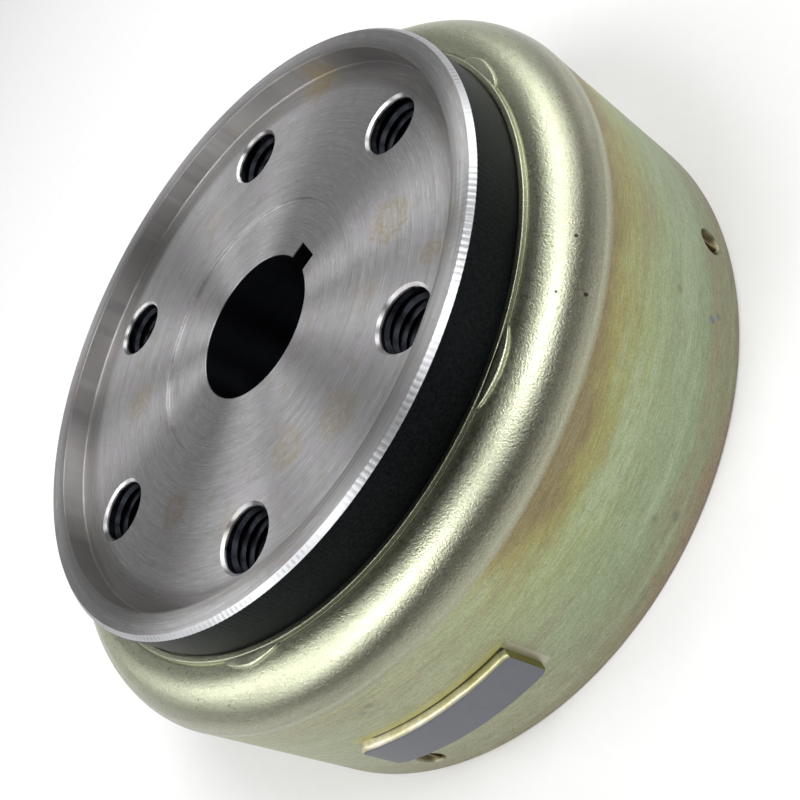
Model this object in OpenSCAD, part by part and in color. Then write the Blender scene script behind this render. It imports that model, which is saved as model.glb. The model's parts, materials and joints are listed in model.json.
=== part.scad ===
// Magneto flywheel of a small motorcycle engine.
// A pressed steel cup is swaged to a machined hub. A ring of arc magnets lines the cup,
// and a trigger lug stands on its outside.
// The origin is on the spin axis, on the floor of the recess in the hub's machined face.
// +Z points out of that face, and +X passes through the first threaded hole.

/* [Hub] */
// Radius of the crankshaft bore at its mouth
bore_r = 10; // [9:0.25:11]
// Width of the keyway
key_w = 4; // [3:0.5:5]
// Angle of the keyway round the axis
key_angle = 59; // [0:0.5:360]
// Radius of the hub's blackened flange
flange_r = 41.1; // [40.6:0.1:41.1]
// Radius of the recess that the starter clutch sits in
recess_r = 37.9; // [37:0.1:38.2]
// Depth of that recess
recess_depth = 3.2; // [2.5:0.1:4]
// Number of threaded holes
bolt_count = 6; // [3:1:8]
// Radius of the circle that the threaded holes lie on
bolt_circle_r = 30.5; // [29:0.5:31]
// Outer radius of the thread in those holes
bolt_r = 4; // [3:0.5:4]
// Outer radius of the puller thread at the far end of the boss
puller_r = 13.5; // [13:0.25:14]
// Radius of the boss
boss_r = 18; // [17:0.5:19]

/* [Cup] */
// Outer radius of the cup
cup_r = 49.2; // [49:0.1:51]
// Thickness of the pressed steel
wall = 4; // [3.5:0.1:4.2]
// Radius of the rounded shoulder
shoulder_r = 5.8; // [5:0.1:6.5]
// Distance from the machined face's rim to the cup's open rim
height = 37.6; // [36:0.1:40]
// Number of dimples that stake the magnet cage in place
dimple_count = 4; // [2:1:6]
// Angle of the first dimple
dimple_angle = 28; // [0:1:90]

/* [Trigger lug] */
// Height of the lug above the cup
lug_h = 1; // [0.6:0.1:2]
// Width of the lug along the axis
lug_w = 7; // [5:0.5:9]
// Angle that the lug spans
lug_span = 26.6; // [15:0.2:35]
// Angle of the middle of the lug
lug_angle = -50; // [-180:1:180]

/* [Magnets] */
// Number of arc magnets
magnet_count = 12; // [6:2:16]
// Thickness of a magnet
magnet_t = 6.2; // [5:0.1:6.4]
// Angle that each rib of the cage takes between two magnets
rib_span = 3; // [2:0.5:5]

/* [Hidden] */
$fn = 96;
eps = 1;

// Hub heights, from the machined rim down
lip_z = recess_depth;
seat_z = -4.2;
spigot_z = -11;
boss_z = -30;
chamfer_w = 0.6;
chamfer_h = 0.65;
step_r = 18;
step_depth = 0.45;
spigot_r = 37.5;
swage_w = 1.2;
swage_h = 2.2;
swage_edge_h = 0.9;
boss_fillet = 3;
edge_chamfer = 0.2;
land_length = 4;
nut_seat_z = boss_z + 8;
taper_ratio = 1 / 5;
bore_low_r = bore_r - (seat_z - nut_seat_z) * taper_ratio / 2;
key_top_r = bore_r + 2.2;
sink_h = 0.3;
boss_chamfer = 0.8;

// Cup heights
rim_z = lip_z - height;
floor_z = seat_z - wall;
cup_in_r = cup_r - wall;
rim_chamfer = 0.4;
turn_z = -9.2;
turn_depth = 0.12;
collar_r = 0.4;
collar_gap = 0.15;
collar_rise = 0.4;
dimple_r = 1.85;
dimple_depth = 1.3;
dimple_z = rim_z + 4.6;

// Lug heights
lug_top_z = -19.2;
lug_low_z = lug_top_z - lug_w;
lug_edge = 0.35;

// Weld beads on the cup, against the outside of its collar
bead_count = bolt_count;
bead_angle = -5;
bead_span = 13;
bead_in_r = flange_r + collar_gap + 2 * collar_r;
bead_out_r = cup_r - shoulder_r;
bead_h = 0.35;

// Magnet ring
magnet_in_r = cup_in_r - magnet_t;
magnet_top_z = -12.2;
magnet_low_z = -30.6;
magnet_pitch = 360 / magnet_count;
magnet_span = magnet_pitch - rib_span;
cage_top_z = -10.2;
sleeve_t = 0.7;
sleeve_top_z = -11.2;
sleeve_low_z = -32.6;
potting_low_z = -32.2;

function two_digits(n) = n < 10 ? str("0", n) : str(n);
MAGNETS = [for (i = [1 : magnet_count]) str("magnet_", two_digits(i))];

// A plain ring about the axis
module ring(r_in, r_out, z_low, z_high, span = 360) {
    rotate_extrude(angle = span)
        translate([r_in, z_low])
            square([r_out - r_in, z_high - z_low]);
}

// Half of a cup's outline, solid to the axis: a flat top and a round corner
module cup_outline(r, z_top, corner, z_low) {
    translate([0, z_low])
        square([r - corner, z_top - z_low]);
    translate([0, z_low])
        square([r, z_top - corner - z_low]);
    translate([r - corner, z_top - corner])
        circle(corner);
}

// The turned section of the hub, from the tapered bore round to the puller thread. The block at the
// root of the boss is hollowed into a fillet, and the spigot's edge is swaged out over the cup's floor.
module hub_outline() {
    difference() {
        polygon([
            [bore_low_r, nut_seat_z],
            [bore_r, -step_depth - land_length],
            [bore_r, -step_depth - edge_chamfer],
            [bore_r + edge_chamfer, -step_depth],
            [step_r, -step_depth],
            [step_r, 0],
            [recess_r, 0],
            [recess_r, lip_z],
            [flange_r - chamfer_w, lip_z],
            [flange_r, lip_z - chamfer_h],
            [flange_r, seat_z],
            [spigot_r, seat_z],
            [spigot_r, floor_z],
            [spigot_r + swage_w, floor_z],
            [spigot_r + swage_w, floor_z - swage_edge_h],
            [spigot_r, floor_z - swage_h],
            [spigot_r, spigot_z],
            [boss_r + boss_fillet, spigot_z],
            [boss_r + boss_fillet, spigot_z - boss_fillet],
            [boss_r, spigot_z - boss_fillet],
            [boss_r, boss_z + boss_chamfer],
            [boss_r - boss_chamfer, boss_z],
            [puller_r + boss_chamfer, boss_z],
            [puller_r, boss_z + boss_chamfer],
            [puller_r, nut_seat_z]
        ]);
        translate([boss_r + boss_fillet, spigot_z - boss_fillet])
            circle(boss_fillet);
    }
}

module bolt_hole() {
    translate([0, 0, spigot_z - eps])
        cylinder(r = bolt_r, h = 2 * eps - spigot_z);
    translate([0, 0, -sink_h])
        cylinder(r1 = bolt_r, r2 = bolt_r + sink_h, h = sink_h);
    cylinder(r = bolt_r + sink_h, h = eps);
}

module hub() {
    color([0.6, 0.58, 0.59])
        difference() {
            rotate_extrude()
                hub_outline();
            for (i = [0 : bolt_count - 1])
                rotate([0, 0, i * 360 / bolt_count])
                    translate([bolt_circle_r, 0, 0])
                        bolt_hole();
            rotate([0, 0, key_angle])
                translate([0, -key_w / 2, nut_seat_z - eps])
                    cube([key_top_r, key_w, eps - nut_seat_z]);
        }
}

// The turned cylinder is a little smaller than the pressed shoulder above it
module turned_step() {
    translate([cup_r - turn_depth, rim_z - eps])
        square([2 * eps, turn_z - rim_z + eps]);
}

module rotor_shell() {
    color([0.68, 0.72, 0.58])
        difference() {
            rotate_extrude()
                difference() {
                    union() {
                        cup_outline(cup_r, seat_z, shoulder_r, rim_z);
                        translate([flange_r + collar_gap + collar_r, seat_z + collar_rise - collar_r])
                            circle(collar_r);
                    }
                    cup_outline(cup_in_r, floor_z, shoulder_r - wall, rim_z - eps);
                    translate([0, floor_z - eps])
                        square([spigot_r, wall + 2 * eps]);
                    turned_step();
                    translate([cup_r - turn_depth, rim_z])
                        rotate(45)
                            square(rim_chamfer * sqrt(2), center = true);
                }
            for (i = [0 : dimple_count - 1])
                rotate([0, 0, dimple_angle + i * 360 / dimple_count])
                    translate([cup_r - dimple_depth, 0, dimple_z])
                        rotate([0, 90, 0])
                            cylinder(r1 = dimple_r * 0.7, r2 = dimple_r, h = dimple_depth + eps);
        }
}

// A welded pad with a ground outer face and chamfered long edges
module trigger_lug() {
    color([0.45, 0.46, 0.5])
        rotate([0, 0, lug_angle - lug_span / 2])
            rotate_extrude(angle = lug_span)
                polygon([
                    [cup_r - turn_depth, lug_low_z],
                    [cup_r + lug_h - lug_edge, lug_low_z],
                    [cup_r + lug_h, lug_low_z + lug_edge],
                    [cup_r + lug_h, lug_top_z - lug_edge],
                    [cup_r + lug_h - lug_edge, lug_top_z],
                    [cup_r - turn_depth, lug_top_z]
                ]);
}

module weld_beads() {
    color([0.5, 0.52, 0.46])
        for (i = [0 : bead_count - 1])
            rotate([0, 0, bead_angle - bead_span / 2 + i * 360 / bead_count])
                rotate_extrude(angle = bead_span)
                    polygon([
                        [bead_in_r, seat_z],
                        [bead_out_r, seat_z],
                        [bead_out_r - bead_h, seat_z + bead_h],
                        [bead_in_r, seat_z + bead_h]
                    ]);
}

module magnet(index) {
    color([0.2, 0.2, 0.21])
        rotate([0, 0, index * magnet_pitch - magnet_span / 2])
            ring(magnet_in_r, cup_in_r, magnet_low_z, magnet_top_z, magnet_span);
}

// A plastic ring with a rib between each pair of magnets
module magnet_cage() {
    color([0.12, 0.12, 0.12])
        difference() {
            ring(magnet_in_r, cup_in_r, magnet_low_z, cage_top_z);
            for (i = [0 : magnet_count - 1])
                rotate([0, 0, i * magnet_pitch - magnet_span / 2])
                    ring(magnet_in_r - eps, cup_in_r + eps, magnet_low_z - eps, magnet_top_z, magnet_span);
        }
}

// Thin guard inside the magnets
module magnet_sleeve() {
    color([0.7, 0.7, 0.68])
        ring(magnet_in_r - sleeve_t, magnet_in_r, sleeve_low_z, sleeve_top_z);
}

// Resin that closes the ring of magnets at the cup's open end
module potting_ring() {
    color([0.1, 0.1, 0.11])
        ring(magnet_in_r, cup_in_r, potting_low_z, magnet_low_z);
}

hub();
rotor_shell();
trigger_lug();
weld_beads();
magnet_cage();
magnet_sleeve();
potting_ring();
for (i = [0 : magnet_count - 1])
    magnet(i);
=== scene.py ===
import json
import math

import bpy
import bmesh
import numpy as np
from mathutils import Matrix, Vector, noise


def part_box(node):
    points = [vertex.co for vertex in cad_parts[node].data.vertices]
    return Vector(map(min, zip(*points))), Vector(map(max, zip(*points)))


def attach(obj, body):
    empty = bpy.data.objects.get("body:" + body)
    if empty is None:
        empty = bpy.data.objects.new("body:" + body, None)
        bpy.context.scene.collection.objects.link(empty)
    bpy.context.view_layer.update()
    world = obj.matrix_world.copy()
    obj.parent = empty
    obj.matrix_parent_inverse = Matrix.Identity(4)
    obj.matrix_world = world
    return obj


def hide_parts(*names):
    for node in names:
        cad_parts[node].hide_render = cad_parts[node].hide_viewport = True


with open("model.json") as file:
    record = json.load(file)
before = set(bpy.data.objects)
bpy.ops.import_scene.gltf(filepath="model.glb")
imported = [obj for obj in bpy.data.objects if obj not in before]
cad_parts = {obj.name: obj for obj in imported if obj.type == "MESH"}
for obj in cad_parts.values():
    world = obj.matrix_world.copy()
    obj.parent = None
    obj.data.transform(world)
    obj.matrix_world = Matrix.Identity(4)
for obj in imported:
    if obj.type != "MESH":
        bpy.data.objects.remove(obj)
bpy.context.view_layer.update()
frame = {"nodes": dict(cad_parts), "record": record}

# ---------------------------------------------------------------- sizes, in millimetres
MM = 0.001
MOUNTS = {m["name"]: m for m in frame["record"]["mounts"]}


def box_mm(node):
    low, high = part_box(node)
    return low / MM, high / MM


HUB_LOW, HUB_HIGH = box_mm("hub")
CUP_LOW, CUP_HIGH = box_mm("rotor_shell")
LUG_LOW, LUG_HIGH = box_mm("trigger_lug")
BEAD_HIGH = box_mm("weld_beads")[1]
SLEEVE_LOW, SLEEVE_HIGH = box_mm("magnet_sleeve")
POTTING_LOW, POTTING_HIGH = box_mm("potting_ring")

# Hub
BORE_R = MOUNTS["crank_bore"]["dims"]["r_mm"]
BOLT_R = MOUNTS["starter_bolts"]["dims"]["hole_r_mm"]
BOLT_CIRCLE_R = MOUNTS["starter_bolts"]["dims"]["pcd_mm"] / 2
BOLT_COUNT = MOUNTS["starter_bolts"]["dims"]["count"]
RECESS_R = MOUNTS["clutch_register"]["dims"]["r_mm"]
PULLER_R = MOUNTS["puller_thread"]["dims"]["r_mm"]
LIP_Z = HUB_HIGH.z
BOSS_Z = HUB_LOW.z
FLANGE_R = 41.1
COLLAR_RISE = 0.4
SEAT_Z = CUP_HIGH.z - COLLAR_RISE
SPIGOT_R = 37.5
SPIGOT_Z = -11.0
STEP_R = 18.0
STEP_DEPTH = 0.45
LAND_LENGTH = 4.0
NUT_SEAT_Z = BOSS_Z + 8
TAPER_RATIO = 1 / 5
BORE_LOW_R = BORE_R - (SEAT_Z - NUT_SEAT_Z) * TAPER_RATIO / 2
BOSS_R = 18.0
BOSS_FILLET = 3.0
BOSS_CHAMFER = 0.8
SWAGE_W = 1.2
SWAGE_H = 2.2
SWAGE_EDGE_H = 0.9
KEY_W = 4.0
KEY_TOP_R = BORE_R + 2.2
KEY_ANGLE = math.radians(59)
CHAMFER_W = 0.6
CHAMFER_H = 0.65
CHATTER_DEPTH = 0.05
SINK_W = 0.3
CLUTCH_PITCH = 1.25
CLUTCH_THREAD_DEPTH = 0.5
PULLER_PITCH = 1.0
PULLER_THREAD_DEPTH = 0.55

# Cup
COLLAR_GAP = 0.15
COLLAR_W = 0.8
COLLAR_IN_R = FLANGE_R + COLLAR_GAP
COLLAR_OUT_R = COLLAR_IN_R + COLLAR_W
BEAD_ANGLE = math.radians(-5)
BEAD_SPAN = math.radians(13)
CUP_R = 49.2
WALL = 4.0
CUP_IN_R = CUP_R - WALL
SHOULDER_R = 5.8
FLOOR_Z = SEAT_Z - WALL
RIM_Z = CUP_LOW.z
TURN_Z = -9.2
TURNED_R = CUP_R - 0.12
DIMPLE_R = 1.85
DIMPLE_DEPTH = 1.3
DIMPLE_Z = RIM_Z + 4.6
DIMPLE_COUNT = 4
DIMPLE_ANGLE = math.radians(28)
DIMPLE_ANGLES = [DIMPLE_ANGLE + 2 * math.pi * i / DIMPLE_COUNT for i in range(DIMPLE_COUNT)]
DIMPLE_WEB = 0.34

# Lug
LUG_H = 1.0
LUG_ANGLE = math.radians(-50)
LUG_SPAN = math.radians(26.6)
LUG_START = LUG_ANGLE - LUG_SPAN / 2
LUG_END = LUG_ANGLE + LUG_SPAN / 2
LUG_WORN_CORNER = 1.1

# Guard sleeve and resin
SLEEVE_T = 0.7
RESIN_SAG = 0.25


# ---------------------------------------------------------------- mesh tools
def rounded(corners, step=math.radians(12)):
    """A closed outline of (r, z) points, from corners given as (r, z, radius of the rounding)."""
    points = []
    count = len(corners)
    for i, (r, z, radius) in enumerate(corners):
        here = Vector((r, z))
        before = Vector(corners[i - 1][:2]) - here
        after = Vector(corners[(i + 1) % count][:2]) - here
        angle = before.angle(after)
        turn = math.pi - angle
        if radius <= 0 or turn < 0.02:
            points.append((r, z))
            continue
        reach = radius / math.tan(angle / 2)
        inward = (before.normalized() + after.normalized()).normalized()
        centre = here + inward * (radius / math.sin(angle / 2))
        start = here + before.normalized() * reach - centre
        end = here + after.normalized() * reach - centre
        sign = 1 if start.x * end.y - start.y * end.x > 0 else -1
        pieces = max(2, math.ceil(turn / step))
        for k in range(pieces + 1):
            a = sign * turn * k / pieces
            points.append((
                centre.x + start.x * math.cos(a) - start.y * math.sin(a),
                centre.y + start.x * math.sin(a) + start.y * math.cos(a),
            ))
    return points


def spread(outline, longest):
    """Adds points so that no stretch of a closed outline is longer than a limit."""
    points = []
    for i, (r, z) in enumerate(outline):
        r2, z2 = outline[(i + 1) % len(outline)]
        count = max(1, math.ceil(math.hypot(r2 - r, z2 - z) / longest))
        points += [(r + (r2 - r) * k / count, z + (z2 - z) * k / count) for k in range(count)]
    return points


def new_piece(name, verts, faces):
    """A mesh object from points in millimetres, with its normals pointing out."""
    mesh = bpy.data.meshes.new(name)
    mesh.from_pydata((np.asarray(verts) * MM).tolist(), [], faces)
    piece = bpy.data.objects.new(name, mesh)
    bpy.context.scene.collection.objects.link(piece)
    bm = bmesh.new()
    bm.from_mesh(mesh)
    bmesh.ops.remove_doubles(bm, verts=bm.verts, dist=1e-7)
    bmesh.ops.recalc_face_normals(bm, faces=bm.faces)
    bm.to_mesh(mesh)
    bm.free()
    return piece


def lathe(name, outline, segments, start=0.0, span=2 * math.pi):
    """Turns a closed (r, z) outline about the Z axis, all the way round or through a span."""
    whole = span > 2 * math.pi - 1e-6
    rings = segments if whole else segments + 1
    angles = start + span * np.arange(rings) / segments
    outline = np.array(outline)
    n = len(outline)
    r, z = outline[:, 0], outline[:, 1]
    x = np.cos(angles)[:, None] * r
    y = np.sin(angles)[:, None] * r
    verts = np.stack([x, y, np.broadcast_to(z, x.shape)], axis=2).reshape(-1, 3)
    faces = []
    for i in range(segments):
        a, b = i * n, ((i + 1) % rings) * n
        faces += [(a + j, b + j, b + (j + 1) % n, a + (j + 1) % n) for j in range(n)]
    if not whole:
        faces.append(tuple(range(n)))
        faces.append(tuple(reversed(range((rings - 1) * n, rings * n))))
    return new_piece(name, verts, faces)


def block(name, low, high):
    x0, y0, z0 = low
    x1, y1, z1 = high
    verts = [(x, y, z) for x in (x0, x1) for y in (y0, y1) for z in (z0, z1)]
    faces = [(0, 1, 3, 2), (4, 6, 7, 5), (0, 4, 5, 1), (2, 3, 7, 6), (0, 2, 6, 4), (1, 5, 7, 3)]
    return new_piece(name, verts, faces)


def place(piece, matrix):
    """Moves a piece's own mesh, so that the piece stays at the origin of the frame."""
    piece.data.transform(matrix)
    return piece


def about_z(angle):
    return Matrix.Rotation(angle, 4, "Z")


def shift(x, y, z):
    return Matrix.Translation(Vector((x, y, z)) * MM)


def cut(piece, cutters):
    """Takes the cutters out of a piece for good."""
    for cutter in cutters:
        modifier = piece.modifiers.new("cut", "BOOLEAN")
        modifier.object = cutter
        modifier.operation = "DIFFERENCE"
        modifier.solver = "EXACT"
    depsgraph = bpy.context.evaluated_depsgraph_get()
    mesh = bpy.data.meshes.new_from_object(piece.evaluated_get(depsgraph))
    piece.modifiers.clear()
    old = piece.data
    piece.data = mesh
    bpy.data.meshes.remove(old)
    for cutter in cutters:
        bpy.data.meshes.remove(cutter.data)
    return piece


def smooth(piece, sharp=math.radians(32)):
    piece.data.shade_smooth()
    piece.data.set_sharp_from_angle(angle=sharp)
    return piece


def join(name, pieces):
    """One mesh object from several."""
    bm = bmesh.new()
    for piece in pieces:
        bm.from_mesh(piece.data)
    mesh = bpy.data.meshes.new(name)
    bm.to_mesh(mesh)
    bm.free()
    for piece in pieces:
        bpy.data.meshes.remove(piece.data)
    joined = bpy.data.objects.new(name, mesh)
    bpy.context.scene.collection.objects.link(joined)
    return joined


def thread(name, wall_r, pitch, depth, z_top, z_low, per_turn, mouth_r=0.0):
    """The helical ridge of an internal thread: a closed strip that stands in from the wall.
    A countersink with radius mouth_r at height 0 trims its first turn."""
    turns = (z_top - z_low) / pitch - 0.9
    steps = int(turns * per_turn)
    half_foot = pitch * 0.46
    half_crest = pitch * 0.09
    verts, faces = [], []
    for i in range(steps + 1):
        a = 2 * math.pi * i / per_turn
        z = z_top - half_foot - pitch * i / per_turn
        grow = min(1, i / (0.7 * per_turn), (steps - i) / (0.4 * per_turn)) * depth
        for r, dz in ((wall_r + 0.05, half_foot), (wall_r - grow, half_crest),
                      (wall_r - grow, -half_crest), (wall_r + 0.05, -half_foot)):
            r = max(r, min(wall_r + 0.05, mouth_r + z + dz))
            verts.append((r * math.cos(a), r * math.sin(a), z + dz))
    for i in range(steps):
        faces += [(4 * i + j, 4 * i + (j + 1) % 4, 4 * i + 4 + (j + 1) % 4, 4 * i + 4 + j) for j in range(4)]
    faces.append((0, 1, 2, 3))
    faces.append(tuple(4 * steps + j for j in (3, 2, 1, 0)))
    return smooth(new_piece(name, verts, faces), math.radians(25))


def move_points(piece, change):
    """Applies change(points in millimetres) -> new points to the whole mesh."""
    mesh = piece.data
    co = np.zeros(len(mesh.vertices) * 3)
    mesh.vertices.foreach_get("co", co)
    co = change(co.reshape(-1, 3) / MM) * MM
    mesh.vertices.foreach_set("co", co.ravel())
    mesh.update()
    return piece


# ---------------------------------------------------------------- material tools
class Graph:
    """Short names for the shader nodes that the materials here are made of."""

    def __init__(self, name):
        self.material = bpy.data.materials.new(name)
        self.material.use_nodes = True
        self.tree = self.material.node_tree
        self.shader = self.tree.nodes["Principled BSDF"]
        place_node = self.node("ShaderNodeTexCoord")
        scale = self.node("ShaderNodeVectorMath", operation="SCALE")
        self.link(place_node.outputs["Object"], scale.inputs[0])
        scale.inputs["Scale"].default_value = 1 / MM
        self.place = scale.outputs[0]
        split = self.node("ShaderNodeSeparateXYZ")
        self.link(self.place, split.inputs[0])
        x, y, self.z = split.outputs
        squares = self.math("ADD", self.math("POWER", x, 2), self.math("POWER", y, 2))
        self.r = self.math("SQRT", squares)
        self.angle = self.math("ARCTAN2", y, x)

    def node(self, kind, **settings):
        node = self.tree.nodes.new(kind)
        for key, value in settings.items():
            setattr(node, key, value)
        return node

    def link(self, source, socket):
        self.tree.links.new(source, socket)

    def put(self, value, socket):
        if isinstance(value, bpy.types.NodeSocket):
            self.link(value, socket)
        elif isinstance(value, (tuple, list)) and len(value) == 3 and socket.type == "RGBA":
            socket.default_value = (*value, 1)
        else:
            socket.default_value = value

    def math(self, operation, a, b=0.0, c=0.0, clamp=False):
        node = self.node("ShaderNodeMath", operation=operation, use_clamp=clamp)
        for value, socket in zip((a, b, c), node.inputs):
            self.put(value, socket)
        return node.outputs[0]

    def vector(self, x, y, z):
        node = self.node("ShaderNodeCombineXYZ")
        for value, socket in zip((x, y, z), node.inputs):
            self.put(value, socket)
        return node.outputs[0]

    def round_place(self, around, along, seed=0.0):
        """Noise coordinates that run round the axis without a seam: around and along are in cells,
        around per radian and along per millimetre of the profile."""
        cos = self.math("MULTIPLY", self.math("COSINE", self.angle), around)
        sin = self.math("MULTIPLY", self.math("SINE", self.angle), around)
        profile = self.math("SUBTRACT", self.z, self.r)
        return self.vector(cos, sin, self.math("MULTIPLY_ADD", profile, along, seed))

    def noise(self, place, scale=1.0, detail=2.0, roughness=0.5, distortion=0.0):
        node = self.node("ShaderNodeTexNoise")
        self.link(place, node.inputs["Vector"])
        node.inputs["Scale"].default_value = scale
        node.inputs["Detail"].default_value = detail
        node.inputs["Roughness"].default_value = roughness
        node.inputs["Distortion"].default_value = distortion
        return node.outputs["Fac"]

    def step(self, value, low, high, out_low=0.0, out_high=1.0):
        """Maps low..high to out_low..out_high, smoothly and clamped."""
        node = self.node("ShaderNodeMapRange", interpolation_type="SMOOTHSTEP")
        for v, socket in zip((value, low, high, out_low, out_high), node.inputs):
            self.put(v, socket)
        return node.outputs[0]

    def ramp(self, value, stops):
        node = self.node("ShaderNodeValToRGB")
        elements = node.color_ramp.elements
        while len(elements) < len(stops):
            elements.new(0.5)
        for element, (position, colour) in zip(elements, stops):
            element.position = position
            element.color = (*colour, 1)
        self.link(value, node.inputs[0])
        return node.outputs[0]

    def mix(self, amount, a, b, blend="MIX"):
        node = self.node("ShaderNodeMix", data_type="RGBA", blend_type=blend)
        self.put(amount, node.inputs["Factor"])
        self.put(a, node.inputs[6])
        self.put(b, node.inputs[7])
        return node.outputs[2]

    def bump(self, height, distance, strength=1.0, normal=None):
        node = self.node("ShaderNodeBump")
        node.inputs["Strength"].default_value = strength
        node.inputs["Distance"].default_value = distance * MM
        self.link(height, node.inputs["Height"])
        if normal is not None:
            self.link(normal, node.inputs["Normal"])
        return node.outputs[0]

    def band(self, value, low, high, soft):
        """1 between low and high, falling to 0 over soft on both sides."""
        rise = self.step(value, low - soft, low)
        fall = self.step(value, high, high + soft, 1.0, 0.0)
        return self.math("MULTIPLY", rise, fall)

    def distance(self, centre):
        node = self.node("ShaderNodeVectorMath", operation="DISTANCE")
        self.link(self.place, node.inputs[0])
        node.inputs[1].default_value = centre
        return node.outputs["Value"]

    def spot(self, centre, size, soft):
        """1 inside a ball, for a mark at one place."""
        return self.step(self.distance(centre), size, size + soft, 1.0, 0.0)

    def finish(self, colour, roughness, normal=None, metallic=1.0, anisotropic=0.0):
        self.put(colour, self.shader.inputs["Base Color"])
        self.put(roughness, self.shader.inputs["Roughness"])
        self.put(metallic, self.shader.inputs["Metallic"])
        if normal is not None:
            self.link(normal, self.shader.inputs["Normal"])
        if anisotropic:
            self.shader.inputs["Anisotropic"].default_value = anisotropic
            self.shader.inputs["Anisotropic Rotation"].default_value = 0.25
            tangent = self.node("ShaderNodeTangent", direction_type="RADIAL", axis="Z")
            self.link(tangent.outputs[0], self.shader.inputs["Tangent"])
        return self.material


def polar(radius, degrees, z=0.0):
    return (radius * math.cos(math.radians(degrees)), radius * math.sin(math.radians(degrees)), z)


def stain(g, centre, size, warp, patch, edge):
    """A dried tide mark: a faint patch with a darker, broken edge."""
    away = g.math("ADD", g.distance(centre), g.math("MULTIPLY_ADD", warp, size * 1.8, -0.9 * size))
    inside = g.step(away, size * 0.5, size * 1.15, patch, 0.0)
    ring = g.band(away, size * 0.74, size * 0.82, size * 0.32)
    return g.math("ADD", inside, g.math("MULTIPLY", ring, edge))


# centre, size, strength of the patch, strength of its edge
STAINS = [
    (polar(25.5, 30), 3.0, 0.4, 0.5), (polar(24.5, -152), 3.0, 0.6, 0.1), (polar(25, -94), 2.6, 0.4, 0.3),
    (polar(23.5, -42), 2.8, 0.4, 0.3), (polar(27, -24), 3.2, 0.5, 0.1), (polar(32.5, 14), 1.8, 0.6, 0.2),
    (polar(22, 8), 2.4, 0.2, 0.1), (polar(26, 140), 2.6, 0.2, 0.2), (polar(36.8, 97), 3.4, 0.9, 0.1),
    (polar(28, -66), 2.2, 0.3, 0.1),
]
TEETH = 330


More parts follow.
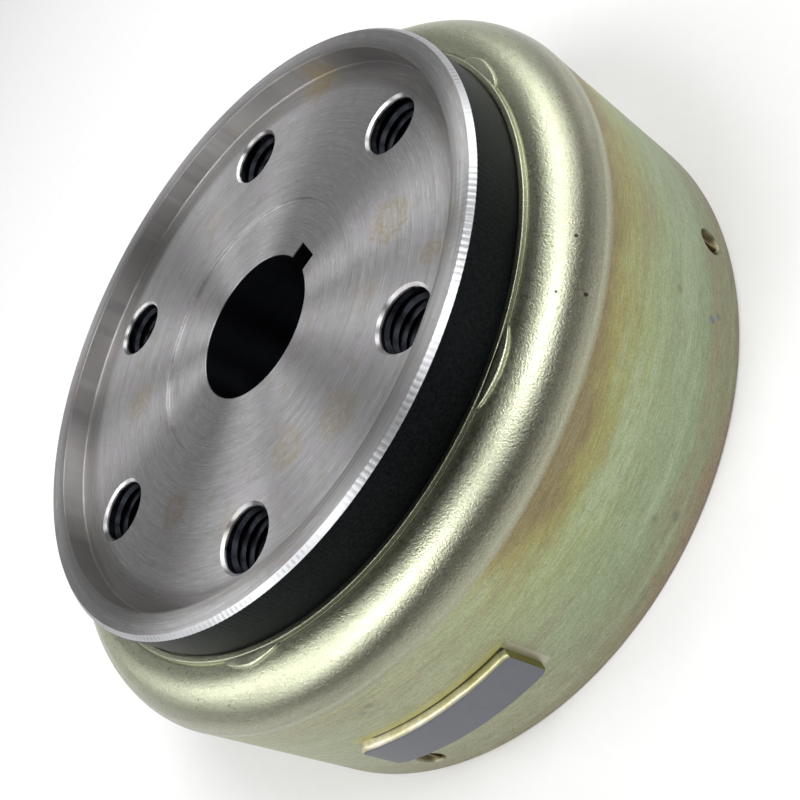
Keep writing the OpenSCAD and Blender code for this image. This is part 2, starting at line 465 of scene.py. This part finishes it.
def hub_material():
    """Turned bright steel inside the rim, black oxide on the outer band."""
    g = Graph("hub_steel")

    def ring_noise(per_mm, per_turn, seed, detail, roughness):
        """Turning marks: they change fast along the radius and slowly round the axis."""
        radius = g.math("MULTIPLY_ADD", g.r, per_mm, seed)
        cos = g.math("MULTIPLY", g.math("COSINE", g.angle), per_turn)
        sin = g.math("MULTIPLY", g.math("SINE", g.angle), per_turn)
        return g.noise(g.vector(radius, cos, sin), detail=detail, roughness=roughness)

    rings = ring_noise(5.5, 1.2, 0.0, 3.0, 0.65)
    wide_rings = ring_noise(0.7, 0.8, 9.0, 2.0, 0.5)
    arcs = ring_noise(6.0, 9.0, 20.0, 2.0, 0.7)
    clouds = g.noise(g.place, scale=0.12, detail=4.0, roughness=0.6)
    grain = g.noise(g.place, scale=3.0, detail=2.0)
    warp = g.noise(g.place, scale=0.45, detail=5.0, roughness=0.7)
    steel = g.ramp(rings, [(0.3, (0.44, 0.445, 0.45)), (0.7, (0.64, 0.64, 0.65))])
    steel = g.mix(g.step(clouds, 0.4, 0.65, 0.0, 0.5), steel, (0.55, 0.51, 0.54))
    # arcs of turning scratches: the light arcs are painted glints, the dark arcs darker scratches
    steel = g.mix(g.step(arcs, 0.56, 0.7, 0.0, 0.5), steel, (0.80, 0.81, 0.82))
    steel = g.mix(g.step(arcs, 0.44, 0.3, 0.0, 0.4), steel, (0.30, 0.30, 0.31))
    # painted shade: the face is darkened in a ring next to the recess wall
    steel = g.mix(g.band(g.r, 35.5, RECESS_R + 0.02, 2.0), steel, (0.66, 0.65, 0.63), "MULTIPLY")
    smear = None
    for centre, size, patch, edge in STAINS:
        mark = stain(g, centre, size, warp, patch, edge)
        smear = mark if smear is None else g.math("MAXIMUM", smear, mark)
    blotches = g.noise(g.place, scale=1.2, detail=5.0, roughness=0.7)
    smear = g.math("MULTIPLY", smear, g.step(blotches, 0.36, 0.6, 0.25, 1.0))
    steel = g.mix(g.step(warp, 0.5, 0.68, 0.0, 0.35), steel, (0.42, 0.38, 0.31))
    steel = g.mix(g.math("MULTIPLY", smear, 0.85, clamp=True), steel, (0.40, 0.32, 0.17))
    # the shade of the tool's teeth round the chamfer is painted as soft grey dots
    turn = g.math("FRACT", g.math("MULTIPLY_ADD", g.angle, TEETH / (2 * math.pi), 1000.0))
    tooth = g.math("PINGPONG", g.math("MULTIPLY", turn, 2.0), 1.0)
    on_chamfer = g.step(g.r, FLANGE_R - CHAMFER_W, FLANGE_R - CHAMFER_W + 0.06)
    middle = g.band(g.r, FLANGE_R - 0.42, FLANGE_R - 0.22, 0.14)
    dots = g.math("MULTIPLY", middle, g.step(tooth, 0.35, 0.8))
    dots = g.math("MULTIPLY", dots, g.step(clouds, 0.42, 0.6, 0.05, 0.6))
    # painted highlight: the chamfer is painted brighter than the face
    steel = g.mix(on_chamfer, steel, (0.74, 0.75, 0.77))
    steel = g.mix(g.math("MULTIPLY", dots, on_chamfer), steel, (0.40, 0.41, 0.42))
    black = g.ramp(grain, [(0.3, (0.006, 0.007, 0.008)), (0.7, (0.014, 0.017, 0.018))])
    inner = g.ramp(grain, [(0.3, (0.10, 0.10, 0.10)), (0.7, (0.20, 0.20, 0.20))])
    band_top = LIP_Z - CHAMFER_H
    is_outside = g.step(g.r, FLANGE_R - 0.06, FLANGE_R - 0.03)
    is_band = g.math("MULTIPLY", is_outside, g.step(g.z, band_top - 0.03, band_top + 0.01, 1.0, 0.0))
    # painted shade: below the recessed face, the walls of the holes and the bore are painted near black
    bore_shade = g.step(g.z, -STEP_DEPTH - 0.21, -STEP_DEPTH - 0.05, 1.0, 0.0)
    colour = g.mix(bore_shade, steel, (0.012, 0.013, 0.017))
    is_low = g.step(g.z, SPIGOT_Z + 0.2, SPIGOT_Z + 0.6, 1.0, 0.0)
    is_back = g.math("MULTIPLY", is_low, g.step(g.r, PULLER_R - 0.6, PULLER_R - 0.4))
    colour = g.mix(is_back, colour, inner)
    colour = g.mix(is_band, colour, black)
    rough = g.step(rings, 0.2, 0.8, 0.35, 0.44)
    rough = g.math("MULTIPLY_ADD", smear, 0.08, rough)
    rough = g.math("MULTIPLY_ADD", is_band, 0.08, rough)
    height = g.math("MULTIPLY_ADD", wide_rings, 0.5, rings)
    normal = g.bump(height, 0.012, 0.35)
    return g.finish(colour, rough, normal, anisotropic=0.92)


def window(g, start, end, z_low, z_high, soft):
    """1 on the cup's wall between two angles and two heights, with edges soft millimetres wide."""
    turn = soft / CUP_R
    return g.math("MULTIPLY", g.band(g.angle, start, end, turn), g.band(g.z, z_low, z_high, soft))


# scars on the plate: centre, size, softness, strength, colour
SCARS = [
    (polar(47.5, 14, -5.9), 0.17, 0.10, 0.9, (0.03, 0.03, 0.03)),
    (polar(48.6, 6.5, -7.4), 0.19, 0.10, 0.9, (0.03, 0.03, 0.03)),
    (polar(46.6, 6.0, -5.2), 0.12, 0.10, 0.9, (0.03, 0.03, 0.03)),
    (polar(48.2, 24, -7.2), 0.15, 0.25, 0.6, (0.10, 0.10, 0.09)),
    (polar(49.1, 14.5, -28.5), 0.35, 0.35, 0.8, (0.16, 0.18, 0.22)),
    (polar(49.1, 15.5, -29.8), 0.25, 0.35, 0.7, (0.16, 0.18, 0.22)),
    (polar(49.1, 15.5, -22.0), 0.20, 0.60, 0.4, (0.12, 0.14, 0.12)),
    (polar(49.1, -12, -30.5), 0.30, 0.70, 0.4, (0.13, 0.13, 0.12)),
    (polar(49.1, -13.5, -27.5), 0.20, 0.60, 0.35, (0.13, 0.13, 0.12)),
    (polar(49.1, -53, -12.5), 0.20, 0.60, 0.35, (0.10, 0.12, 0.12)),
    (polar(49.1, -55, -13.2), 0.20, 0.50, 0.35, (0.10, 0.12, 0.12)),
]


def cup_material():
    """Satin iridescent zinc plate: a grainy pressed shoulder, and a side with fine turned scratches."""
    g = Graph("zinc_plate")
    scratches = g.noise(g.round_place(30.0, 4.5), detail=3.0, roughness=0.65, distortion=0.4)
    lines = g.noise(g.round_place(9.0, 9.0, 7.0), detail=2.0, roughness=0.7, distortion=0.2)
    patches = g.noise(g.round_place(3.0, 0.10, 3.0), detail=3.0, roughness=0.5)
    bands = g.noise(g.round_place(1.2, 0.30, 11.0), detail=2.0)
    grain = g.noise(g.place, scale=1.6, detail=4.0, roughness=0.75)
    sand = g.noise(g.place, scale=4.2, detail=2.0, roughness=0.7)
    on_side = g.step(g.z, TURN_Z - 0.9, TURN_Z - 0.1, 1.0, 0.0)
    # the plate's tint changes from the rim up to the shoulder, with an olive stripe under the shoulder
    mottle = g.noise(g.round_place(9.0, 0.35, 5.0), detail=3.0, roughness=0.6)
    height = g.math("MULTIPLY_ADD", g.z, 1 / (TURN_Z - RIM_Z), RIM_Z / (RIM_Z - TURN_Z))
    height = g.math("ADD", height, g.math("MULTIPLY_ADD", patches, 0.34, -0.17))
    height = g.math("ADD", height, g.math("MULTIPLY_ADD", mottle, 0.24, -0.12))
    fade = g.step(g.math("COSINE", g.math("SUBTRACT", g.angle, 0.25)), 0.85, 0.5)
    sink = g.math("MULTIPLY", g.math("MULTIPLY", fade, 0.3), g.step(height, 0.55, 0.9))
    height = g.math("SUBTRACT", height, sink)
    side = g.ramp(height, [
        (0.00, (0.26, 0.23, 0.18)),
        (0.10, (0.25, 0.28, 0.20)),
        (0.30, (0.26, 0.34, 0.24)),
        (0.52, (0.28, 0.36, 0.25)),
        (0.70, (0.31, 0.38, 0.22)),
        (0.84, (0.30, 0.31, 0.15)),
        (0.96, (0.23, 0.21, 0.13)),
    ])
    minty = g.math("MULTIPLY", g.step(bands, 0.5, 0.66, 0.0, 0.6), g.step(height, 0.9, 0.7))
    side = g.mix(minty, side, (0.34, 0.43, 0.33))
    side = g.mix(g.step(bands, 0.46, 0.32, 0.0, 0.55), side, (0.27, 0.26, 0.19))
    side = g.mix(g.math("MULTIPLY", fade, 0.5), side, (0.36, 0.38, 0.31))
    # painted highlight: the top of the shoulder is painted much paler than its outer slope
    shoulder_highlight = g.step(g.z, -6.6, -4.7)
    pale = g.mix(shoulder_highlight, (0.27, 0.27, 0.22), (0.59, 0.62, 0.49))
    pale = g.mix(g.step(bands, 0.42, 0.62, 0.0, 0.4), pale, (0.46, 0.46, 0.36))
    pale = g.mix(g.band(g.z, TURN_Z + 0.1, TURN_Z + 0.3, 0.4), pale, (0.37, 0.37, 0.29))
    colour = g.mix(on_side, pale, side)
    fine = g.ramp(scratches, [(0.30, (0.74, 0.74, 0.70)), (0.70, (1.0, 1.0, 1.0))])
    colour = g.mix(g.step(on_side, 0.0, 1.0, 0.5, 1.0), colour, fine, "MULTIPLY")
    brushed = g.ramp(lines, [(0.34, (0.80, 0.80, 0.77)), (0.60, (1.0, 1.0, 1.0))])
    brushing = g.math("MULTIPLY", on_side, g.step(patches, 0.3, 0.6, 0.4, 1.0))
    colour = g.mix(brushing, colour, brushed, "MULTIPLY")
    speckle = g.ramp(sand, [(0.30, (0.76, 0.77, 0.74)), (0.66, (1.0, 1.0, 1.0))])
    colour = g.mix(1.0, colour, speckle, "MULTIPLY")
    # painted reflection and shade: the plate in the corner beside the hub's black band is painted dark, most
    # on the side towards the viewer, where it mirrors the black band
    corner = g.band(g.r, COLLAR_IN_R, COLLAR_OUT_R + 0.1, 0.4)
    band_reflection = g.math("MULTIPLY", corner, g.step(g.z, RIM_Z + 20, SEAT_Z - 1))
    viewer_side = g.math("COSINE", g.math("ADD", g.angle, 0.45))
    band_reflection = g.math("MULTIPLY", band_reflection, g.step(viewer_side, 0.6, 0.95, 0.1, 0.75))
    colour = g.mix(band_reflection, colour, (0.06, 0.06, 0.05))
    pit = g.math("MULTIPLY", g.step(scratches, 0.66, 0.74), 0.6)
    colour = g.mix(pit, colour, (0.10, 0.11, 0.08))
    lift = g.mix(on_side, (1.16, 1.16, 1.10), (1.50, 1.36, 1.25))
    colour = g.mix(1.0, colour, lift, "MULTIPLY")
    # the lug's heat left a yellow halo, and a dark line of painted shade runs along its upper edge, in the
    # gap between pad and plate
    halo = window(g, LUG_START, LUG_END, LUG_HIGH.z + 0.1, LUG_HIGH.z + 0.7, 0.8)
    colour = g.mix(g.math("MULTIPLY", halo, 0.5), colour, (0.50, 0.48, 0.16))
    seam = window(g, LUG_START + 0.05, LUG_END, LUG_HIGH.z - 0.3, LUG_HIGH.z + 0.2, 0.1)
    colour = g.mix(seam, colour, (0.05, 0.05, 0.02))
    # painted reflection: a light strip just past the lug's end
    strip = window(g, LUG_END + 0.004, LUG_END + 0.018, LUG_LOW.z, LUG_HIGH.z - 0.2, 0.25)
    colour = g.mix(g.math("MULTIPLY", strip, 0.8), colour, (0.46, 0.42, 0.34))
    # the floors of the dimples are darker
    below_skin = g.step(g.r, TURNED_R - 0.35, TURNED_R - 0.1, 1.0, 0.0)
    hollow = g.math("MULTIPLY", below_skin, g.step(g.r, CUP_IN_R + 0.8, CUP_IN_R + 1.0))
    hollow = g.math("MULTIPLY", hollow, g.step(g.z, DIMPLE_Z + 3, DIMPLE_Z + 2.6))
    colour = g.mix(g.math("MULTIPLY", hollow, 0.85), colour, (0.16, 0.12, 0.06))
    for centre, size, soft, strength, scar in SCARS:
        colour = g.mix(g.math("MULTIPLY", g.spot(centre, size, soft), strength), colour, scar)
    rough = g.math("ADD", g.step(grain, 0.2, 0.8, 0.25, 0.36), g.math("MULTIPLY", on_side, 0.14))
    normal = g.bump(grain, 0.05, 0.5)
    normal = g.bump(sand, 0.07, 0.75, normal)
    side_height = g.math("MULTIPLY", g.math("ADD", lines, scratches), on_side)
    normal = g.bump(side_height, 0.03, 0.5, normal)
    return g.finish(colour, rough, normal)


def lug_material():
    g = Graph("lug_steel")
    grind = g.noise(g.round_place(2.0, 9.0, 5.0), detail=3.0)
    clouds = g.noise(g.place, scale=0.5, detail=4.0, roughness=0.65)
    ground = g.ramp(grind, [(0.3, (0.13, 0.135, 0.155)), (0.7, (0.19, 0.195, 0.22))])
    ground = g.mix(g.step(clouds, 0.45, 0.6, 0.0, 0.4), ground, (0.17, 0.18, 0.19))
    # the plated rounded edge: pale gold plate, painted brighter at the start of the pad as a highlight,
    # turning olive towards its end, with the end wall darker
    plated = g.ramp(clouds, [(0.35, (0.60, 0.56, 0.36)), (0.6, (0.84, 0.79, 0.66))])
    olive = g.step(g.angle, LUG_START + 0.1, LUG_END, 0.0, 0.7)
    plated = g.mix(olive, plated, (0.42, 0.42, 0.20))
    plated = g.mix(g.step(g.angle, LUG_END - 0.002, LUG_END - 0.0005), plated, (0.24, 0.23, 0.07))
    bare = g.step(g.r, TURNED_R + LUG_H + 0.02, TURNED_R + LUG_H + 0.05)
    colour = g.mix(bare, plated, ground)
    rough = g.step(grind, 0.2, 0.8, 0.40, 0.52)
    return g.finish(colour, rough, g.bump(grind, 0.015, 0.4))


def plain_metal(name, dark, light, rough, scale=1.5):
    g = Graph(name)
    grain = g.noise(g.place, scale=scale, detail=4.0, roughness=0.65)
    colour = g.ramp(grain, [(0.3, dark), (0.7, light)])
    return g.finish(colour, g.step(grain, 0.2, 0.8, rough - 0.06, rough + 0.08), g.bump(grain, 0.04, 0.4))


def plain_matter(name, dark, light, rough, scale=1.5, height=0.05):
    g = Graph(name)
    grain = g.noise(g.place, scale=scale, detail=4.0, roughness=0.65)
    colour = g.ramp(grain, [(0.3, dark), (0.7, light)])
    normal = g.bump(grain, height, 0.5)
    return g.finish(colour, g.step(grain, 0.2, 0.8, rough - 0.08, rough + 0.1), normal, metallic=0.0)


def set_material(piece, material):
    piece.data.materials.clear()
    piece.data.materials.append(material)
    return piece


def add(piece, material, slot, *replaced):
    """Finishes a piece: its material, the CAD nodes it stands for and its body; the record slot is not used.
    """
    set_material(piece, material)
    if replaced:
        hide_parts(*replaced)
    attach(piece, "root")
    return piece


# ---------------------------------------------------------------- pieces
def make_hub(material):
    outline = rounded([
        (BORE_LOW_R, NUT_SEAT_Z, 0.15),
        (BORE_R, -STEP_DEPTH - LAND_LENGTH, 0),
        (BORE_R, -STEP_DEPTH, 0.1),
        (STEP_R, -STEP_DEPTH, 0.06),
        (STEP_R, 0, 0.06),
        (RECESS_R, 0, 0.3),
        (RECESS_R, LIP_Z, 0.12),
        (FLANGE_R - CHAMFER_W, LIP_Z, 0.05),
        (FLANGE_R, LIP_Z - CHAMFER_H, 0.08),
        (FLANGE_R, SEAT_Z, 0.1),
        (SPIGOT_R, SEAT_Z, 0),
        (SPIGOT_R, FLOOR_Z, 0),
        (SPIGOT_R + SWAGE_W, FLOOR_Z, 0.1),
        (SPIGOT_R + SWAGE_W, FLOOR_Z - SWAGE_EDGE_H, 0.4),
        (SPIGOT_R, FLOOR_Z - SWAGE_H, 0.3),
        (SPIGOT_R, SPIGOT_Z, 0.4),
        (BOSS_R, SPIGOT_Z, BOSS_FILLET),
        (BOSS_R, BOSS_Z, BOSS_CHAMFER),
        (PULLER_R, BOSS_Z, 0.7),
        (PULLER_R, NUT_SEAT_Z, 0.2),
    ])
    hub = lathe("machined_hub", outline, 3 * TEETH)
    cutters = []
    hole = rounded([
        (0, SPIGOT_Z - 1, 0), (BOLT_R, SPIGOT_Z - 1, 0), (BOLT_R, -0.33, 0.05),
        (BOLT_R + 0.36, -0.01, 0), (BOLT_R + 0.4, 1, 0), (0, 1, 0),
    ])
    for i in range(BOLT_COUNT):
        cutter = lathe("hole_cutter", hole, 96)
        place(cutter, about_z(2 * math.pi * i / BOLT_COUNT) @ shift(BOLT_CIRCLE_R, 0, 0))
        cutters.append(cutter)
    key = block("key_cutter", (0, -KEY_W / 2, NUT_SEAT_Z - 0.5), (KEY_TOP_R, KEY_W / 2, 1))
    cutters.append(place(key, about_z(KEY_ANGLE)))
    cut(hub, cutters)

    def chatter(co):
        """Tool chatter: small teeth round the chamfer of the rim."""
        r = np.hypot(co[:, 0], co[:, 1])
        angle = np.arctan2(co[:, 1], co[:, 0])
        on_chamfer = (r > FLANGE_R - CHAMFER_W - 0.03) & (co[:, 2] > LIP_Z - CHAMFER_H - 0.06)
        tooth = (angle * TEETH / (2 * math.pi)) % 1.0
        depth = CHATTER_DEPTH * np.where(tooth < 0.5, tooth, 1 - tooth) * 2
        depth *= 0.6 + 0.4 * np.sin(angle * 3 + 1) * np.sin(angle * 7)
        scale = 1 - np.where(on_chamfer, depth, 0) / r
        co[:, :2] *= scale[:, None]
        co[:, 2] -= np.where(on_chamfer, depth * 0.6, 0)
        return co

    move_points(hub, chatter)
    return add(smooth(hub), material, "machined_steel", "hub")


def make_cup(material):
    shoulder = [math.radians(a) for a in range(90, 7, -3)]
    centre_r, centre_z = CUP_R - SHOULDER_R, SEAT_Z - SHOULDER_R
    outline = spread(rounded([
        (SPIGOT_R, SEAT_Z, 0),
        (COLLAR_IN_R, SEAT_Z, 0),
        (COLLAR_IN_R, CUP_HIGH.z, 0.1),
        (COLLAR_OUT_R - 0.06, CUP_HIGH.z, 0.2),
        (COLLAR_OUT_R, SEAT_Z - 0.12, 0.06),
        (COLLAR_OUT_R + 0.3, SEAT_Z, 0.3),
        *((centre_r + SHOULDER_R * math.cos(a), centre_z + SHOULDER_R * math.sin(a), 0) for a in shoulder),
        (TURNED_R + 0.04, TURN_Z, 0),
        (TURNED_R, TURN_Z - 0.06, 0),
        (TURNED_R, RIM_Z, 0.4),
        (CUP_IN_R, RIM_Z, 0.4),
        (CUP_IN_R, FLOOR_Z, SHOULDER_R - WALL),
        (SPIGOT_R, FLOOR_Z, 0),
    ], math.radians(6)), 1.5)
    cup = lathe("plated_cup", outline, 720)
    dimple = rounded([
        (0, -DIMPLE_DEPTH, 0), (DIMPLE_R * 0.75, -DIMPLE_DEPTH, 0.3), (DIMPLE_R, 0, 0),
        (DIMPLE_R + 0.1, 1, 0), (0, 1, 0),
    ])
    cutters = []
    for angle in DIMPLE_ANGLES:
        # the punch left a thin web standing across the middle of each dimple
        cutter = lathe("dimple_cutter", dimple, 48)
        cut(cutter, [block("web", (-3, -DIMPLE_WEB / 2, -2), (3, DIMPLE_WEB / 2, -0.35))])
        place(cutter, about_z(angle) @ shift(TURNED_R, 0, DIMPLE_Z) @ Matrix.Rotation(math.pi / 2, 4, "Y"))
        cutters.append(cutter)
    cut(cup, cutters)
    return add(smooth(cup), material, "zinc_plate", "rotor_shell")


def make_lug(material):
    r0, r1 = TURNED_R - 0.02, TURNED_R + LUG_H + 0.12
    outline = rounded([
        (r0, LUG_LOW.z, 0),
        (r0, LUG_HIGH.z, 0),
        (r1 - 0.1, LUG_HIGH.z, 0.55),
        (r1 - 0.02, LUG_HIGH.z - 0.6, 0),
        (r1, LUG_HIGH.z - 0.62, 0),
        (r1, LUG_LOW.z, 0.3),
    ])
    lug = lathe("trigger_pad", outline, 72, LUG_START, LUG_SPAN)
    middle_z = (LUG_LOW.z + LUG_HIGH.z) / 2

    def wear(co):
        """Rounds the corners of the pad and makes its long edges a little uneven."""
        for p in co:
            turn = abs(math.atan2(p[1], p[0]) - LUG_ANGLE)
            corner = max(0.0, 1 - (LUG_SPAN / 2 - turn) * CUP_R / LUG_WORN_CORNER)
            wobble = noise.noise(Vector(p) * 0.35)
            p[2] = middle_z + (p[2] - middle_z) * (0.99 - 0.13 * corner ** 2 + 0.02 * wobble)
        return co

    move_points(lug, wear)
    return add(smooth(lug), material, "ground_steel", "trigger_lug")


def make_beads(material):
    """Low lobes on the outside of the collar, plated over with the cup."""
    beads = []
    low = SEAT_Z - 0.04
    root_r = COLLAR_OUT_R - 0.12
    for i in range(BOLT_COUNT):
        outline = rounded([
            (root_r, low, 0), (BEAD_HIGH.x, low, 0), (BEAD_HIGH.x - 0.1, BEAD_HIGH.z, 0.35),
            (root_r, BEAD_HIGH.z, 0),
        ])
        middle = BEAD_ANGLE + 2 * math.pi * i / BOLT_COUNT
        bead = lathe("bead", outline, 32, middle - BEAD_SPAN / 2, BEAD_SPAN)

        def lump(co, middle=middle, seed=i):
            """Tapers the bead off towards its ends, with slightly uneven sides."""
            for p in co:
                r = math.hypot(p[0], p[1])
                turn = (math.atan2(p[1], p[0]) - middle + math.pi) % (2 * math.pi) - math.pi
                rise = max(0.0, 1 - (turn * 2 / BEAD_SPAN) ** 2)
                wave = 1 + 0.15 * noise.noise(Vector((turn * 14, r, 7.3 * seed)))
                new_r = root_r + (r - root_r) * (0.1 + 0.9 * rise ** 0.8) * wave
                p[:2] *= new_r / r
                p[2] = low + (p[2] - low) * (0.2 + 0.8 * rise ** 0.5) * wave
            return co

        beads.append(move_points(bead, lump))
    return add(smooth(join("weld_marks", beads)), material, "weld_metal", "weld_beads")


def make_threads(material):
    for i in range(BOLT_COUNT):
        ridge = thread(f"clutch_thread_{i + 1}", BOLT_R, CLUTCH_PITCH, CLUTCH_THREAD_DEPTH,
                       -0.35, SPIGOT_Z - 0.3, 40, BOLT_R + SINK_W)
        place(ridge, about_z(2 * math.pi * i / BOLT_COUNT) @ shift(BOLT_CIRCLE_R, 0, 0))
        add(ridge, material, "machined_steel")
    puller = thread("puller_thread", PULLER_R, PULLER_PITCH, PULLER_THREAD_DEPTH,
                    NUT_SEAT_Z - 0.8, BOSS_Z + 0.5, 96)
    add(puller, material, "machined_steel")


def make_magnet_ring(materials):
    inner, outer = SLEEVE_HIGH.x, CUP_IN_R
    sleeve = lathe("guard_sleeve", rounded([
        (inner - SLEEVE_T, SLEEVE_LOW.z, 0.2), (inner, SLEEVE_LOW.z, 0.2),
        (inner, SLEEVE_HIGH.z, 0.2), (inner - SLEEVE_T, SLEEVE_HIGH.z, 0.2),
    ]), 480)
    add(smooth(sleeve), materials["sleeve"], "sleeve_steel", "magnet_sleeve")
    steps = 10
    surface = [
        (inner + (outer - inner) * k / steps, POTTING_LOW.z + RESIN_SAG * math.sin(math.pi * k / steps))
        for k in range(steps + 1)
    ]
    resin = lathe("resin_ring", surface + [(outer, POTTING_HIGH.z), (inner, POTTING_HIGH.z)], 480)
    add(smooth(resin), materials["resin"], "resin", "potting_ring")
    for name, node in frame["nodes"].items():
        if name.startswith("magnet_") and name[-1].isdigit():
            set_material(node, materials["ferrite"])
    set_material(frame["nodes"]["magnet_cage"], materials["cage"])


steel = hub_material()
make_hub(steel)
plate = cup_material()
make_cup(plate)
make_lug(lug_material())
make_beads(plate)
# painted shade: the threads deep in the holes are painted near black
make_threads(plain_metal("thread_shade_steel", (0.007, 0.008, 0.010), (0.020, 0.021, 0.026), 0.35))
make_magnet_ring({
    "sleeve": plain_metal("sleeve_steel", (0.42, 0.42, 0.41), (0.58, 0.58, 0.56), 0.36),
    "resin": plain_matter("resin", (0.010, 0.010, 0.012), (0.022, 0.022, 0.025), 0.3, 0.5, 0.1),
    "ferrite": plain_matter("ferrite", (0.035, 0.035, 0.04), (0.07, 0.07, 0.075), 0.7),
    "cage": plain_matter("cage_plastic", (0.015, 0.015, 0.016), (0.03, 0.03, 0.032), 0.55),
})


# ---------------------------------------------------------------- stage
FLOOR_HALF = 0.9


def make_floor():
    mesh = bpy.data.meshes.new("floor")
    signs = ((-1, -1), (1, -1), (1, 1), (-1, 1))
    corners = [(x * FLOOR_HALF, y * FLOOR_HALF, RIM_Z * MM) for x, y in signs]
    mesh.from_pydata(corners, [], [(0, 1, 2, 3)])
    floor = bpy.data.objects.new("floor", mesh)
    bpy.context.scene.collection.objects.link(floor)
    g = Graph("floor_paper")
    fibre = g.noise(g.place, scale=0.4, detail=3.0)
    colour = g.ramp(fibre, [(0.3, (0.96, 0.96, 0.96)), (0.7, (0.98, 0.98, 0.98))])
    set_material(floor, g.finish(colour, 0.9, metallic=0.0))


# Metres
SOFTBOX_SIZE = 0.30
SOFTBOX_DISTANCE = 0.70
# Each softbox: azimuth and elevation in degrees as the part sees it, and watts. On a turned face
# a light shows as a bright fan, along the radius that halves its direction and the viewer's.
SOFTBOXES = {
    "key": (40, 60, 1.6),  # the wide fan towards the first hole
    "front": (10, 50, 0.5),  # the near shoulder
    "right": (75, 30, 0.6),  # the shoulder to the right of the first hole
    "right_back": (100, 40, 1.0),  # a fan next to the key's
    "left_high": (-80, 60, 1.5),  # a fan above the lug
    "left": (-100, 35, 0.8),  # the shoulder above the lug
    "left_back": (-140, 40, 0.9),  # the last fan on the left
    "back": (160, 40, 0.1),  # mirrored by the whole flat face
}


def make_lights():
    for name, (azimuth, elevation, watts) in SOFTBOXES.items():
        a, e = math.radians(azimuth), math.radians(elevation)
        direction = Vector((math.cos(a) * math.cos(e), math.sin(a) * math.cos(e), math.sin(e)))
        data = bpy.data.lights.new(f"softbox_{name}", "AREA")
        data.shape = "SQUARE"
        data.size = SOFTBOX_SIZE
        data.energy = watts
        light = bpy.data.objects.new(f"softbox_{name}", data)
        light.location = direction * SOFTBOX_DISTANCE
        light.rotation_euler = direction.to_track_quat("Z", "Y").to_euler()
        bpy.context.scene.collection.objects.link(light)


# The camera turns from -Y towards +X, rises, and rolls about the line that it looks along
CAMERA_TURN = math.radians(73.15)
CAMERA_RISE = math.radians(36.61)
CAMERA_ROLL = math.radians(-61.69)
CAMERA_DISTANCE = 0.1430
CAMERA_AIM = Vector((14.7, -0.4, -15.6)) * MM
CAMERA_LENS = 51.4
CAMERA_SHIFT_X = -0.0129
CAMERA_SHIFT_Y = -0.0307


def make_camera():
    flat = math.cos(CAMERA_RISE)
    back = Vector((math.sin(CAMERA_TURN) * flat, -math.cos(CAMERA_TURN) * flat, math.sin(CAMERA_RISE)))
    level = Vector((math.cos(CAMERA_TURN), math.sin(CAMERA_TURN), 0))
    right = Matrix.Rotation(CAMERA_ROLL, 3, back) @ level
    up = back.cross(right)
    data = bpy.data.cameras.new("camera")
    data.sensor_width = 36
    data.lens = CAMERA_LENS
    data.shift_x = CAMERA_SHIFT_X
    data.shift_y = CAMERA_SHIFT_Y
    data.clip_start = 0.005
    camera = bpy.data.objects.new("camera", data)
    turned = Matrix((right, up, back)).transposed().to_4x4()
    camera.matrix_world = Matrix.Translation(CAMERA_AIM + back * CAMERA_DISTANCE) @ turned
    bpy.context.scene.collection.objects.link(camera)
    bpy.context.scene.camera = camera


def make_world():
    """A dim studio, brightest low down, where its pale walls meet the floor."""
    world = bpy.data.worlds.new("studio")
    world.use_nodes = True
    tree = world.node_tree
    place = tree.nodes.new("ShaderNodeTexCoord")
    split = tree.nodes.new("ShaderNodeSeparateXYZ")
    ramp = tree.nodes.new("ShaderNodeValToRGB")
    tree.links.new(place.outputs["Generated"], split.inputs[0])
    tree.links.new(split.outputs["Z"], ramp.inputs[0])
    tree.links.new(ramp.outputs[0], tree.nodes["Background"].inputs["Color"])
    stops = [(0.0, 0.8), (0.2, 0.2), (1.0, 0.2)]  # height, light
    elements = ramp.color_ramp.elements
    while len(elements) < len(stops):
        elements.new(0.5)
    for element, (height, light) in zip(elements, stops):
        element.position = height
        element.color = (light, light, light, 1)
    tree.nodes["Background"].inputs["Strength"].default_value = 1.0
    bpy.context.scene.world = world


make_floor()
make_world()
make_lights()
make_camera()
bpy.context.scene.view_settings.view_transform = "Standard"
